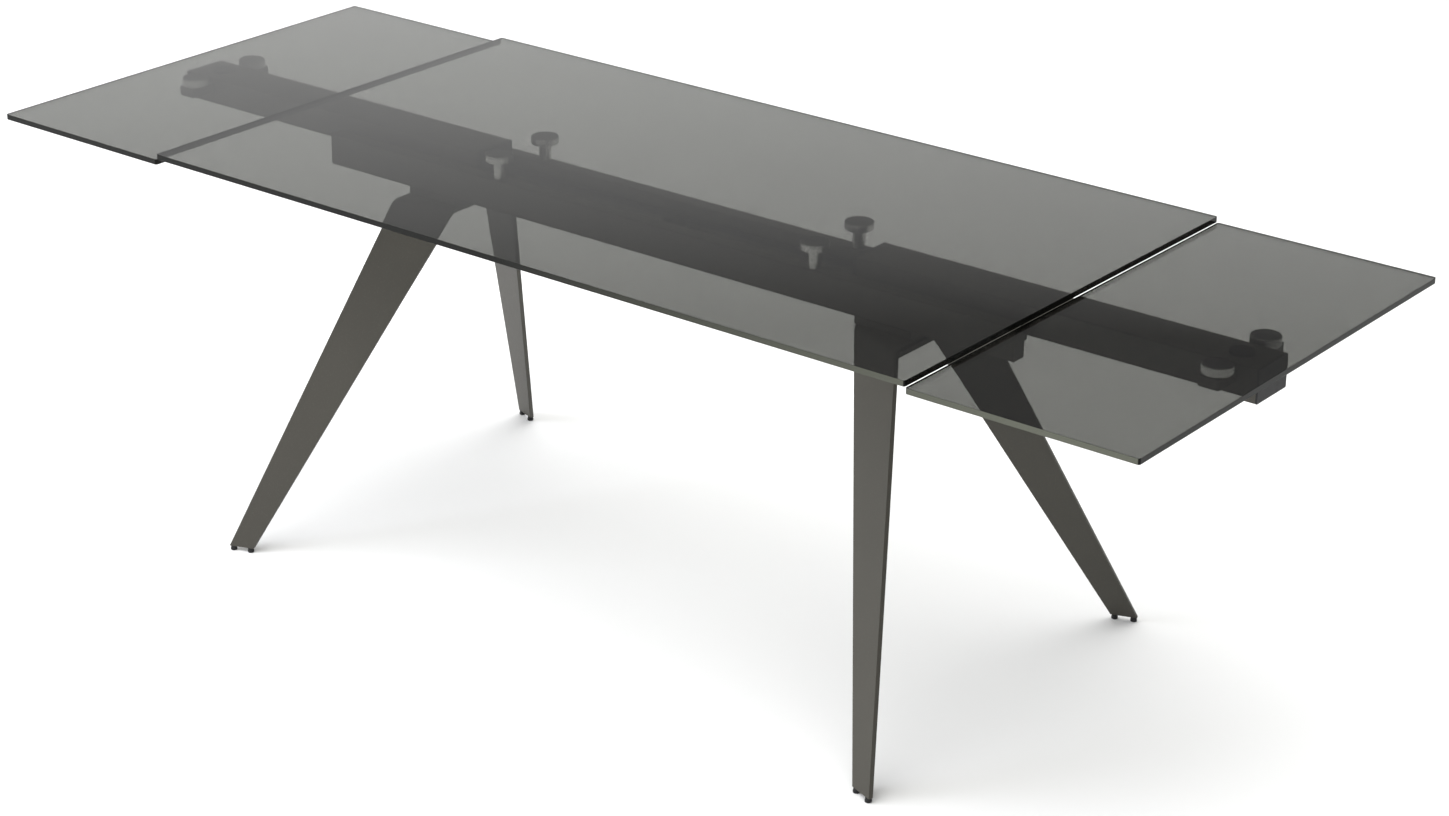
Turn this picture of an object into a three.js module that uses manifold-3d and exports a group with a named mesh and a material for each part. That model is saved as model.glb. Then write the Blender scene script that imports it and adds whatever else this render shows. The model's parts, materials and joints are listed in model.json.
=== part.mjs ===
// Extendable glass dining table, pulled out to its full length. Millimetres, +Z up.
// The origin is on the floor under the middle of the top, X runs along the table and Y across it.
// Two steel bars on four bent legs carry a fixed middle glass on posts. Between the bars run two
// slides, each with a glass leaf at its outer end. A leaf stands lowered, ready to go in under the
// middle glass, and rises flush with it on the stems of its two pucks.
import * as THREE from "three";
import { mergeVertices } from "three/addons/utils/BufferGeometryUtils.js";
import Module from "manifold-3d";

const wasm = await Module();
wasm.setup();

// Glass top
const topHeight = 762;
const topWidth = 900;
const middleLength = 1600;
const leafLength = 399.4;
const glassThickness = 10;
const glassCornerRadius = 4;
const seamGap = 0.6;
const leafClearance = 0.5;

// Posts between the bars and the middle glass
const postHeight = 46;
const postX = 346;
const stemDiameter = 22;
const postDiscDiameter = 50;
const postDiscThickness = 13;
const studDiameter = 8;
const studLength = 8;

// Bars
const barSetback = 55;
const barWidth = 30;
const barHeight = 58;
const barWall = 3;
const barCapThickness = 2;

// Slides
const slideWidth = 89;
const slideHeight = 50;
const slideWall = 3;
const slideSetback = 40;
const slideInset = 10;
const slideSideGap = 1.5;
const slideToLeaf = 6.5;
const slideCapThickness = 3;
const slidePlugThickness = 8;
const railWidth = 10;
const railHeight = 10;
const railClearance = 0.5;

// Crossbar and pucks that carry a leaf
const puckSetback = 55;
const puckDiameter = 50;
const puckSideGap = 3;
const crossbarWidth = 36;
const crossbarHeight = 18;
const crossbarGap = 2;
const puckStemDiameter = 20;
const puckStemLength = 16;
const bossDiameter = 40;
const bossHeight = 5;

// Stops inside the beam
const stopGap = 0.3;
const stopWidth = 20;
const stopHeight = 22;
const stopDrop = 11;
const tongueWidth = 60;
const tongueDepth = 21;
const tongueRoot = 5;
const bufferTieHeight = 12;
const bufferTieDrop = 23;
const bufferWidth = 40;
const bufferRise = 15;

// Legs: each is a tapered blade of thick plate, folded from the flange above it
const plateThickness = 8;
const spacerThickness = 12;
const foldSetback = 250;
const foldY = 97.5;
const foldWidth = 121;
const footSplay = 207;
const footY = 396;
const footWidth = 48;
const bladeTurn = THREE.MathUtils.degToRad(20.5);
const weldGap = 0.3;

// Levelling glides under the blades
const glideHeight = 8;
const glideDiameter = 12;
const glideSpread = 34;
const glideStemDiameter = 4;
const glideStemLength = 5;

// Bolts that hold the legs to the bars
const boltOffset = 3;
const boltDiameter = 8;
const boltHeadDiameter = 14;
const boltHeadHeight = 4.5;
const boltThread = 5;
const holeClearance = 0.3;

// Heights and places that follow from the sizes above
const glassBottom = topHeight - glassThickness;
const barTop = glassBottom - postHeight;
const barBottom = barTop - barHeight;
const leafTop = glassBottom - leafClearance;
const leafBottom = leafTop - glassThickness;
const slideTop = leafBottom - slideToLeaf;
const slideBottom = slideTop - slideHeight;
const leafX = middleLength / 2 + seamGap + leafLength / 2;
const leafEnd = leafX + leafLength / 2;
const slideTravel = leafLength + seamGap;
const slideInnerEnd = slideTravel + slideInset;
const slideReach = leafEnd - slideSetback;
const puckX = slideReach - puckSetback;
const barLength = middleLength - 2 * barSetback;
const foldX = barLength / 2 - foldSetback;
const footX = foldX + footSplay;
const boltX = foldX + boltOffset;
const barInnerY = slideWidth / 2 + slideSideGap;
const barOuterY = barInnerY + barWidth;
const barMiddleY = barInnerY + barWidth / 2;
const railTop = slideBottom - railClearance;
const railBottom = railTop - railHeight;
const crossbarBottom = barTop + crossbarGap;
const crossbarTop = crossbarBottom + crossbarHeight;
const puckY = slideWidth / 2 + puckSideGap + puckDiameter / 2;
const spacerBottom = barBottom - spacerThickness;
const flangeBottom = spacerBottom - plateThickness;
const tiePlateBottom = flangeBottom - plateThickness;
const sides = [
  { name: "left", sign: -1 },
  { name: "right", sign: 1 },
];
const rows = [
  { name: "front", sign: -1 },
  { name: "rear", sign: 1 },
];

const materials = {
  glass: new THREE.MeshStandardMaterial({ color: 0x6f716f, roughness: 0.03, transparent: true, opacity: 0.45 }),
  coated: new THREE.MeshStandardMaterial({ color: 0x4a4a4b, roughness: 0.5, metalness: 0.5 }),
  steel: new THREE.MeshStandardMaterial({ color: 0xc9cac6, roughness: 0.25, metalness: 1 }),
  plastic: new THREE.MeshStandardMaterial({ color: 0x1c1c1d, roughness: 0.6 }),
  nylon: new THREE.MeshStandardMaterial({ color: 0x2a2a2b, roughness: 0.5 }),
  zinc: new THREE.MeshStandardMaterial({ color: 0x8d9092, roughness: 0.35, metalness: 1 }),
};

const table = new THREE.Group();

function addMesh(name, geometry, material, position = [0, 0, 0], parent = table) {
  const mesh = new THREE.Mesh(geometry, material);
  mesh.name = name;
  mesh.position.set(...position);
  parent.add(mesh);
  return mesh;
}

// Manifold solids, for holes and joins
function toSolid(geometry) {
  const bare = geometry.clone();
  bare.deleteAttribute("normal");
  bare.deleteAttribute("uv");
  const merged = mergeVertices(bare, 1e-4);
  return new wasm.Manifold(
    new wasm.Mesh({
      numProp: 3,
      vertProperties: merged.attributes.position.array,
      triVerts: new Uint32Array(merged.index.array),
    }),
  );
}

function toGeometry(solid) {
  const mesh = solid.getMesh();
  const geometry = new THREE.BufferGeometry();
  geometry.setAttribute("position", new THREE.BufferAttribute(new Float32Array(mesh.vertProperties), 3));
  geometry.setIndex(new THREE.BufferAttribute(new Uint32Array(mesh.triVerts), 1));
  const flat = geometry.toNonIndexed();
  flat.computeVertexNormals();
  return flat;
}

function cutFrom(geometry, cutters) {
  return toGeometry(cutters.reduce((left, cutter) => left.subtract(toSolid(cutter)), toSolid(geometry)));
}

function joined(geometries) {
  return toGeometry(geometries.map(toSolid).reduce((sum, next) => sum.add(next)));
}

// A box between two corners
function boxBetween(low, high) {
  const size = high.map((value, axis) => value - low[axis]);
  const middle = high.map((value, axis) => (value + low[axis]) / 2);
  return new THREE.BoxGeometry(...size).translate(...middle);
}

// A box that spans x0 to x1 on one side of the table
function sideBox(sign, x0, x1, yHalf, z0, z1) {
  const [low, high] = sign > 0 ? [x0, x1] : [-x1, -x0];
  return boxBetween([low, -yHalf, z0], [high, yHalf, z1]);
}

function uprightCylinder(diameter, x, y, z0, z1, segments = 16) {
  const cylinder = new THREE.CylinderGeometry(diameter / 2, diameter / 2, z1 - z0, segments);
  return cylinder.rotateX(Math.PI / 2).translate(x, y, (z0 + z1) / 2);
}

// A turned solid about the Z axis, from [radius, height] points listed upwards
function turned(points, segments = 24) {
  const profile = points.map(([radius, height]) => new THREE.Vector2(radius, height));
  return new THREE.LatheGeometry(profile, segments).rotateX(Math.PI / 2);
}

// A section drawn in Y and Z, pulled along X from x0 to x1
function alongX(shape, x0, x1) {
  const turn = new THREE.Matrix4().makeBasis(
    new THREE.Vector3(0, 1, 0),
    new THREE.Vector3(0, 0, 1),
    new THREE.Vector3(1, 0, 0),
  );
  const pulled = new THREE.ExtrudeGeometry(shape, { depth: x1 - x0, bevelEnabled: false });
  return pulled.applyMatrix4(turn).translate(x0, 0, 0);
}

function rectanglePath(low, high, Kind = THREE.Shape) {
  const path = new Kind();
  path.moveTo(low[0], low[1]);
  path.lineTo(high[0], low[1]);
  path.lineTo(high[0], high[1]);
  path.lineTo(low[0], high[1]);
  path.closePath();
  return path;
}

// A solid between two four-cornered outlines at two heights, lower one first, both anticlockwise
function blockBetween(lower, z0, upper, z1) {
  const points = [...lower.map(([x, y]) => [x, y, z0]), ...upper.map(([x, y]) => [x, y, z1])];
  const faces = [
    [0, 2, 1],
    [0, 3, 2],
    [4, 5, 6],
    [4, 6, 7],
  ];
  for (let i = 0; i < 4; i++) {
    const next = (i + 1) % 4;
    faces.push([i, next, next + 4], [i, next + 4, i + 4]);
  }
  const geometry = new THREE.BufferGeometry();
  geometry.setAttribute("position", new THREE.Float32BufferAttribute(points.flat(), 3));
  geometry.setIndex(faces.flat());
  return geometry.toNonIndexed();
}

// Glass plates
function glassPlate(length) {
  const halfX = length / 2;
  const halfY = topWidth / 2;
  const radius = glassCornerRadius;
  const outline = new THREE.Shape();
  outline.moveTo(-halfX + radius, -halfY);
  outline.lineTo(halfX - radius, -halfY);
  outline.absarc(halfX - radius, -halfY + radius, radius, -Math.PI / 2, 0);
  outline.lineTo(halfX, halfY - radius);
  outline.absarc(halfX - radius, halfY - radius, radius, 0, Math.PI / 2);
  outline.lineTo(-halfX + radius, halfY);
  outline.absarc(-halfX + radius, halfY - radius, radius, Math.PI / 2, Math.PI);
  outline.lineTo(-halfX, -halfY + radius);
  outline.absarc(-halfX + radius, -halfY + radius, radius, Math.PI, 1.5 * Math.PI);
  return new THREE.ExtrudeGeometry(outline, { depth: glassThickness, bevelEnabled: false, curveSegments: 3 });
}

addMesh("middle_glass", glassPlate(middleLength), materials.glass, [0, 0, glassBottom]);
for (const side of sides) {
  addMesh(side.name + "_leaf_glass", glassPlate(leafLength), materials.glass, [side.sign * leafX, 0, leafBottom]);
}

// Posts: a stem with a threaded stud at each end, and a disc bonded to the glass
const discBottom = postHeight - postDiscThickness;
function postStem() {
  const stud = studDiameter / 2;
  const radius = stemDiameter / 2;
  return turned([
    [0, -studLength],
    [stud, -studLength],
    [stud, 0],
    [radius, 0],
    [radius, discBottom],
    [stud, discBottom],
    [stud, discBottom + studLength],
    [0, discBottom + studLength],
  ]);
}

function postDisc() {
  const edge = 1;
  const radius = postDiscDiameter / 2;
  const bore = studDiameter / 2 + holeClearance;
  const boreTop = discBottom + studLength + holeClearance;
  return turned([
    [0, boreTop],
    [bore, boreTop],
    [bore, discBottom],
    [radius - edge, discBottom],
    [radius, discBottom + edge],
    [radius, postHeight - edge],
    [radius - edge, postHeight],
    [0, postHeight],
  ]);
}

for (const side of sides) {
  for (const row of rows) {
    const post = new THREE.Group();
    post.position.set(side.sign * postX, row.sign * barMiddleY, barTop);
    table.add(post);
    addMesh(row.name + "_" + side.name + "_post_stem", postStem(), materials.steel, [0, 0, 0], post);
    addMesh(row.name + "_" + side.name + "_post_disc", postDisc(), materials.steel, [0, 0, 0], post);
  }
}

// Bars: box tubes closed by end caps, with holes for the post studs above and the leg bolts below
const stemHole = studDiameter + 2 * holeClearance;
const boltHole = boltDiameter + 2 * holeClearance;
function bar(ySign) {
  const low = ySign > 0 ? barInnerY : -barOuterY;
  const section = rectanglePath([low, barBottom], [low + barWidth, barTop]);
  const bore = [low + barWall, barBottom + barWall];
  const boreEnd = [low + barWidth - barWall, barTop - barWall];
  section.holes.push(rectanglePath(bore, boreEnd, THREE.Path));
  const holes = [];
  for (const side of sides) {
    const y = ySign * barMiddleY;
    holes.push(uprightCylinder(stemHole, side.sign * postX, y, barTop - 2 * barWall, barTop + barWall));
    holes.push(uprightCylinder(boltHole, side.sign * boltX, y, barBottom - barWall, barBottom + 2 * barWall));
  }
  return cutFrom(alongX(section, -barLength / 2, barLength / 2), holes);
}

for (const row of rows) {
  addMesh(row.name + "_bar", bar(row.sign), materials.coated);
  const low = row.sign > 0 ? barInnerY : -barOuterY;
  for (const side of sides) {
    const x0 = side.sign > 0 ? barLength / 2 : -barLength / 2 - barCapThickness;
    const cap = boxBetween([x0, low, barBottom], [x0 + barCapThickness, low + barWidth, barTop]);
    addMesh(row.name + "_" + side.name + "_bar_cap", cap, materials.coated);
  }
}

// Guide rails on the bars' inner faces: a slide rests on them, and its tongue hooks under them
for (const row of rows) {
  const [y0, y1] = row.sign > 0 ? [barInnerY - railWidth, barInnerY] : [-barInnerY, railWidth - barInnerY];
  const rail = boxBetween([-barLength / 2, y0, railBottom], [barLength / 2, y1, railTop]);
  addMesh(row.name + "_guide_rail", rail, materials.nylon);
}

// Slide section: a plain box tube
function slideOutline() {
  return rectanglePath([-slideWidth / 2, slideBottom], [slideWidth / 2, slideTop]);
}

function slideBore() {
  const half = slideWidth / 2 - slideWall;
  return rectanglePath([-half, slideBottom + slideWall], [half, slideTop - slideWall], THREE.Path);
}

// The piece of a section between two distances out from the middle, on one side of the table
function onSide(sign, shape, x0, x1) {
  return sign > 0 ? alongX(shape, x0, x1) : alongX(shape, -x1, -x0);
}

const tubeStart = slideInnerEnd + slidePlugThickness;
const tubeEnd = slideReach - slideCapThickness;
const crossbarHalf = puckY + puckDiameter / 2;
const crossbarX = [puckX - crossbarWidth / 2, puckX + crossbarWidth / 2];
const tongueBottom = slideBottom - tongueDepth;

for (const side of sides) {
  const tubeSection = slideOutline();
  tubeSection.holes.push(slideBore());
  const slot = sideBox(side.sign, ...crossbarX, slideWidth, crossbarBottom, crossbarTop);
  const tube = cutFrom(onSide(side.sign, tubeSection, tubeStart, tubeEnd), [slot]);
  addMesh(side.name + "_slide_tube", tube, materials.coated);

  const cap = onSide(side.sign, slideOutline(), tubeEnd, slideReach);
  addMesh(side.name + "_slide_end_cap", cap, materials.nylon);

  // The plug's tongue ends in a wide foot, which holds the slide down under the rails and meets the
  // outer stop when the slide is pulled right out
  const plugSpan = [slideInnerEnd, tubeStart];
  const plug = onSide(side.sign, slideOutline(), ...plugSpan);
  const tongue = sideBox(side.sign, ...plugSpan, tongueWidth / 2, tongueBottom, slideBottom + tongueRoot);
  const foot = sideBox(side.sign, ...plugSpan, slideWidth / 2, tongueBottom, railBottom - railClearance);
  addMesh(side.name + "_slide_plug", joined([plug, tongue, foot]), materials.plastic);

  const bores = rows.map((row) =>
    uprightCylinder(
      puckStemDiameter + 2 * holeClearance,
      side.sign * puckX,
      row.sign * puckY,
      crossbarBottom - crossbarGap,
      crossbarTop + crossbarGap,
      24,
    ),
  );
  const crossbar = cutFrom(sideBox(side.sign, ...crossbarX, crossbarHalf, crossbarBottom, crossbarTop), bores);
  addMesh(side.name + "_crossbar", crossbar, materials.coated);

  const boss = uprightCylinder(bossDiameter, 0, 0, 0, bossHeight, 24);
  addMesh(side.name + "_boss", boss, materials.plastic, [side.sign * puckX, 0, slideTop]);
}

// Pucks: bonded to a leaf, with a stem that lifts out of the crossbar
const puckHeight = leafBottom - crossbarTop;
function puck() {
  const edge = 1;
  const radius = puckDiameter / 2;
  const stem = puckStemDiameter / 2;
  return turned(
    [
      [0, -puckStemLength],
      [stem, -puckStemLength],
      [stem, 0],
      [radius - edge, 0],
      [radius, edge],
      [radius, puckHeight - edge],
      [radius - edge, puckHeight],
      [0, puckHeight],
    ],
    28,
  );
}

for (const side of sides) {
  for (const row of rows) {
    const place = [side.sign * puckX, row.sign * puckY, crossbarTop];
    addMesh(row.name + "_" + side.name + "_puck", puck(), materials.steel, place);
  }
}

// Stops: a tie across the bars at each end, and a rubber buffer on a tie in the middle
const stopTop = slideBottom - stopDrop;
for (const side of sides) {
  const x0 = tubeStart + stopGap;
  const tie = sideBox(side.sign, x0, x0 + stopWidth, barInnerY, stopTop - stopHeight, stopTop);
  addMesh(side.name + "_stop_tie", tie, materials.coated);
}
const bufferHalf = slideInset - stopGap;
const bufferTieTop = slideBottom - bufferTieDrop;
const bufferTie = boxBetween(
  [-bufferHalf, -barInnerY, bufferTieTop - bufferTieHeight],
  [bufferHalf, barInnerY, bufferTieTop],
);
addMesh("middle_tie", bufferTie, materials.coated);
const buffer = boxBetween(
  [-bufferHalf, -bufferWidth / 2, bufferTieTop],
  [bufferHalf, bufferWidth / 2, slideBottom + bufferRise],
);
addMesh("middle_buffer", buffer, materials.plastic);

// Legs. Everything is worked out for the rear right leg and mirrored.
const along = [Math.cos(bladeTurn), Math.sin(bladeTurn)];
const inwards = [Math.sin(bladeTurn), -Math.cos(bladeTurn)];
const foldHeight = spacerBottom - glideHeight;
const lean = Math.atan2((foldX - footX) * inwards[0] + (foldY - footY) * inwards[1], foldHeight);
const levelThickness = plateThickness / Math.cos(lean);

// A point on the blade at a height, across its width from -1 (inner edge) to 1 and into its thickness
function bladePoint(z, across, depth) {
  const t = (spacerBottom - z) / foldHeight;
  const half = THREE.MathUtils.lerp(foldWidth, footWidth, t) / 2;
  const x = THREE.MathUtils.lerp(foldX, footX, t) + across * half * along[0] + depth * inwards[0];
  const y = THREE.MathUtils.lerp(foldY, footY, t) + across * half * along[1] + depth * inwards[1];
  return [x, y];
}

function mirrored(outline, xSign, ySign) {
  const moved = outline.map(([x, y]) => [x * xSign, y * ySign]);
  return xSign * ySign > 0 ? moved : moved.reverse();
}

function bladeOutline(z) {
  return [
    bladePoint(z, -1, levelThickness),
    bladePoint(z, 1, levelThickness),
    bladePoint(z, 1, 0),
    bladePoint(z, -1, 0),
  ];
}

// The two plates that join a pair of legs follow the folds at both ends, at a depth behind the blades' faces
function pairOutline(z, depth) {
  const [outerX, outerY] = bladePoint(z, 1, depth);
  const [innerX, innerY] = bladePoint(z, -1, depth);
  return [
    [innerX, -innerY],
    [outerX, -outerY],
    [outerX, outerY],
    [innerX, innerY],
  ];
}

function glideHoles() {
  return rows.map((end) => {
    const [x, y] = glidePlace(end.sign);
    const diameter = glideStemDiameter + 2 * holeClearance;
    return uprightCylinder(diameter, x, y, 0, glideHeight + glideStemLength + holeClearance, 12);
  });
}

function glidePlace(end) {
  return bladePoint(glideHeight, (end * glideSpread) / footWidth, levelThickness / 2);
}

function glide() {
  const radius = glideDiameter / 2;
  const stem = glideStemDiameter / 2;
  return turned(
    [
      [0, 0],
      [radius - 1, 0],
      [radius, 1],
      [radius, glideHeight],
      [stem, glideHeight],
      [stem, glideHeight + glideStemLength],
      [0, glideHeight + glideStemLength],
    ],
    16,
  );
}

const blade = cutFrom(
  blockBetween(bladeOutline(glideHeight), glideHeight, bladeOutline(flangeBottom), flangeBottom),
  glideHoles(),
);

// A mirrored copy of a solid, with its faces still pointing out
function mirroredCopy(geometry, xSign, ySign) {
  const copy = geometry.clone().scale(xSign, ySign, 1);
  if (xSign * ySign < 0) {
    const position = copy.attributes.position;
    for (let i = 0; i < position.count; i += 3) {
      const second = new THREE.Vector3().fromBufferAttribute(position, i + 1);
      const third = new THREE.Vector3().fromBufferAttribute(position, i + 2);
      position.setXYZ(i + 1, ...third.toArray());
      position.setXYZ(i + 2, ...second.toArray());
    }
  }
  copy.computeVertexNormals();
  return copy;
}

for (const side of sides) {
  for (const row of rows) {
    const legName = row.name + "_" + side.name;
    addMesh(legName + "_leg", mirroredCopy(blade, side.sign, row.sign), materials.coated);
    for (const end of [{ name: "inner", sign: -1 }, { name: "outer", sign: 1 }]) {
      const [x, y] = glidePlace(end.sign);
      addMesh(legName + "_" + end.name + "_glide", glide(), materials.plastic, [side.sign * x, row.sign * y, 0]);
    }
  }
}

// Spacer, flange plate and tie plate under the bars on each side, and the bolts through all three
function boltHoles(sign) {
  const [z0, z1] = [tiePlateBottom - boltThread, barBottom + boltThread];
  return rows.map((row) => uprightCylinder(boltHole, sign * boltX, row.sign * barMiddleY, z0, z1));
}

function plateBetween(sign, z0, z1, depth) {
  const lower = mirrored(pairOutline(z0, depth), sign, 1);
  const upper = mirrored(pairOutline(z1, depth), sign, 1);
  return cutFrom(blockBetween(lower, z0, upper, z1), boltHoles(sign));
}

function bolt() {
  const radius = boltDiameter / 2;
  const head = boltHeadDiameter / 2;
  const shank = barBottom + barWall + boltThread - tiePlateBottom;
  return turned(
    [
      [0, -boltHeadHeight],
      [head - 2, -boltHeadHeight],
      [head, -1],
      [head, 0],
      [radius, 0],
      [radius, shank],
      [0, shank],
    ],
    12,
  );
}

for (const side of sides) {
  const spacerX = [foldX - foldWidth / 2 + 4, foldX + foldWidth / 2 - 4];
  const spacer = sideBox(side.sign, ...spacerX, barOuterY, spacerBottom, barBottom);
  addMesh(side.name + "_spacer_plate", cutFrom(spacer, boltHoles(side.sign)), materials.coated);
  addMesh(side.name + "_flange_plate", plateBetween(side.sign, flangeBottom, spacerBottom, 0), materials.coated);
  const tiePlate = plateBetween(side.sign, tiePlateBottom, flangeBottom, levelThickness + weldGap);
  addMesh(side.name + "_tie_plate", tiePlate, materials.coated);
  for (const row of rows) {
    const place = [side.sign * boltX, row.sign * barMiddleY, tiePlateBottom];
    addMesh(row.name + "_" + side.name + "_leg_bolt", bolt(), materials.zinc, place);
  }
}

export default table;
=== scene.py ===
import json
import math

import bmesh
import bpy
from mathutils import Matrix, Vector


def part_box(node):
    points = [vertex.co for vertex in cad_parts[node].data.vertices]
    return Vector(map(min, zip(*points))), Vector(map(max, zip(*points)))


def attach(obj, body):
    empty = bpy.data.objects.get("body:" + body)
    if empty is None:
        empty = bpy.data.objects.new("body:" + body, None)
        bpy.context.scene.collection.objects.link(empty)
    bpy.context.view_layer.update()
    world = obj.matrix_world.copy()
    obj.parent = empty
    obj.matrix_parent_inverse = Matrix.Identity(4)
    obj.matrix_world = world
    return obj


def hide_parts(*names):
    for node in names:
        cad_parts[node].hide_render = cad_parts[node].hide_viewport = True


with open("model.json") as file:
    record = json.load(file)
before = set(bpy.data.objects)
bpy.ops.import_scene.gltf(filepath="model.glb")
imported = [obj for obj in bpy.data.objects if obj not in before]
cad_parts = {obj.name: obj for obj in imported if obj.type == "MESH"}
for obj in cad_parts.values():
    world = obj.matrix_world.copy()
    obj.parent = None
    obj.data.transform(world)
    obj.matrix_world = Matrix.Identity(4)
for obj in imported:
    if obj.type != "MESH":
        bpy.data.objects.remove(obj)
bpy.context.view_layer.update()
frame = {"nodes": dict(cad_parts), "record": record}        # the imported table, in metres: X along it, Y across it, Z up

nodes = frame["nodes"]
mm = 0.001
sides = {"left": -1, "right": 1}
rows = {"front": -1, "rear": 1}

scene = bpy.context.scene
scene.view_settings.view_transform = "Standard"


def srgbToLinear(hexColour):
    channels = [int(hexColour[i:i + 2], 16) / 255 for i in (1, 3, 5)]
    linear = [c / 12.92 if c <= 0.04045 else ((c + 0.055) / 1.055) ** 2.4 for c in channels]
    return (*linear, 1.0)


def addNode(tree, kind, inputs=None, **settings):
    # inputs maps a socket to a number, a colour, another node's socket, or a list of sockets
    node = tree.nodes.new(kind)
    for name, value in settings.items():
        setattr(node, name, value)
    for key, value in (inputs or {}).items():
        sources = value if isinstance(value, list) else [value]
        for source in sources:
            if isinstance(source, bpy.types.NodeSocket):
                tree.links.new(source, node.inputs[key])
            else:
                node.inputs[key].default_value = source
    return node


def noiseAt(tree, place, featureMm, detail, more=None):
    # soft noise whose features are that many millimetres wide
    inputs = {"Vector": place, "Scale": 1000 / featureMm, "Detail": detail, **(more or {})}
    return addNode(tree, "ShaderNodeTexNoise", inputs).outputs[0]


def spread(tree, value, target, source=(0.3, 0.7)):
    # carries the range that noise mostly keeps to over to the wanted one
    inputs = {0: value, 1: source[0], 2: source[1], 3: target[0], 4: target[1]}
    return addNode(tree, "ShaderNodeMapRange", inputs).outputs[0]


def blend(tree, share, first, second):
    return addNode(tree, "ShaderNodeMix", {0: share, 6: first, 7: second}, data_type="RGBA").outputs[2]


def product(tree, first, second):
    return addNode(tree, "ShaderNodeMath", {0: first, 1: second}, operation="MULTIPLY").outputs[0]


def bumpFrom(tree, height, strength, depthMm):
    inputs = {"Height": height, "Strength": strength, "Distance": depthMm * mm}
    return addNode(tree, "ShaderNodeBump", inputs).outputs[0]


def coordinate(tree, name="Object"):
    return addNode(tree, "ShaderNodeTexCoord").outputs[name]


def newMaterial(name):
    material = bpy.data.materials.new(name)
    material.use_nodes = True
    material.node_tree.nodes.clear()
    return material, material.node_tree


def putOut(tree, shader):
    addNode(tree, "ShaderNodeOutputMaterial", {"Surface": shader.outputs[0]})


powderCoat = {
    "shade": "#43413C",         # warm graphite grey, a touch lighter where the coat is thicker
    "shadeThick": "#4E4C46",
    "speckShade": "#6B6B62",    # fine metallic speck in the powder
    "speckMm": 2.4,             # real specks are near 0.1 mm, drawn coarser so that they show
    "speckShare": 0.16,
    "speckFromTo": (0.55, 0.72),
    "peelMm": 3.0,              # orange peel, 1 to 3 mm between crests
    "peelDepthMm": 0.06,
    "cloudMm": 260,
    "roughness": (0.38, 0.52),
    "gloss": 0.2,
}


def makePowderCoatedSteel(name, values):
    # satin polyester powder, sprayed and baked: a soft broad highlight and a faint orange peel
    material, tree = newMaterial(name)
    place = coordinate(tree)
    cloud = noiseAt(tree, place, values["cloudMm"], 3.0)
    speck = noiseAt(tree, place, values["speckMm"], 2.0, {"Roughness": 0.7})
    speckMask = spread(tree, speck, (0.0, values["speckShare"]), values["speckFromTo"])
    base = blend(tree, cloud, srgbToLinear(values["shade"]), srgbToLinear(values["shadeThick"]))
    colour = blend(tree, speckMask, base, srgbToLinear(values["speckShade"]))
    peel = noiseAt(tree, place, values["peelMm"], 1.5, {"Roughness": 0.4})
    shader = addNode(tree, "ShaderNodeBsdfPrincipled",
                     {"Base Color": colour, "Roughness": spread(tree, speck, values["roughness"]),
                      "Normal": bumpFrom(tree, peel, 0.5, values["peelDepthMm"]),
                      "IOR": 1.5, "Specular IOR Level": values["gloss"]})
    putOut(tree, shader)
    return material


temperedGlass = {
    "tint": (0.150, 0.152, 0.142),    # share of light left after 10 mm of body-tinted grey float glass
    "lampTint": (0.86, 0.86, 0.85),
    "smearMm": 55,
    "smearFromTo": (0.5, 0.75),
    "roughness": (0.0, 0.02),
    "rollerMm": 90,                   # the faint wave that tempering rollers leave
    "rollerStretch": (1.0, 0.15, 1.0),
    "rollerDepthMm": 0.01,
}


def makeTemperedGreyGlass(name, values):
    # body-tinted float glass: clear grey, a sharp reflection, and almost no texture but a faint smear
    material, tree = newMaterial(name)
    place = coordinate(tree)
    smear = noiseAt(tree, place, values["smearMm"], 4.0, {"Distortion": 0.6})
    acrossRollers = addNode(tree, "ShaderNodeMapping", {"Vector": place, "Scale": values["rollerStretch"]})
    wave = noiseAt(tree, acrossRollers.outputs[0], values["rollerMm"], 0.0)
    shader = addNode(tree, "ShaderNodeBsdfPrincipled",
                     {"Base Color": (*values["tint"], 1.0), "Transmission Weight": 1.0, "IOR": 1.52,
                      "Roughness": spread(tree, smear, values["roughness"], values["smearFromTo"]),
                      "Normal": bumpFrom(tree, wave, 0.2, values["rollerDepthMm"])})
    path = addNode(tree, "ShaderNodeLightPath")       # lamps shine through, so the floor under it stays pale
    clear = addNode(tree, "ShaderNodeBsdfTransparent", {"Color": (*values["lampTint"], 1.0)})
    either = addNode(tree, "ShaderNodeMixShader",
                     {0: path.outputs["Is Shadow Ray"], 1: shader.outputs[0], 2: clear.outputs[0]})
    putOut(tree, either)
    return material


glassEdge = {
    "shade": "#141511",
    "shadeDeep": "#070806",
    # painted reflection: the front edge is painted paler towards +X in place of reflected light
    "paintedReflectionShade": "#5D5F55",
    "paintedReflectionFromTo": (0.0, 1.0),          # along the table, in metres
    "paintedReflectionFacingFromTo": (-0.9, -1.0),      # how squarely an edge faces the front
    "bandMm": 30,
    "roughness": (0.08, 0.16),
    "gloss": 0.12,
}


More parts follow.
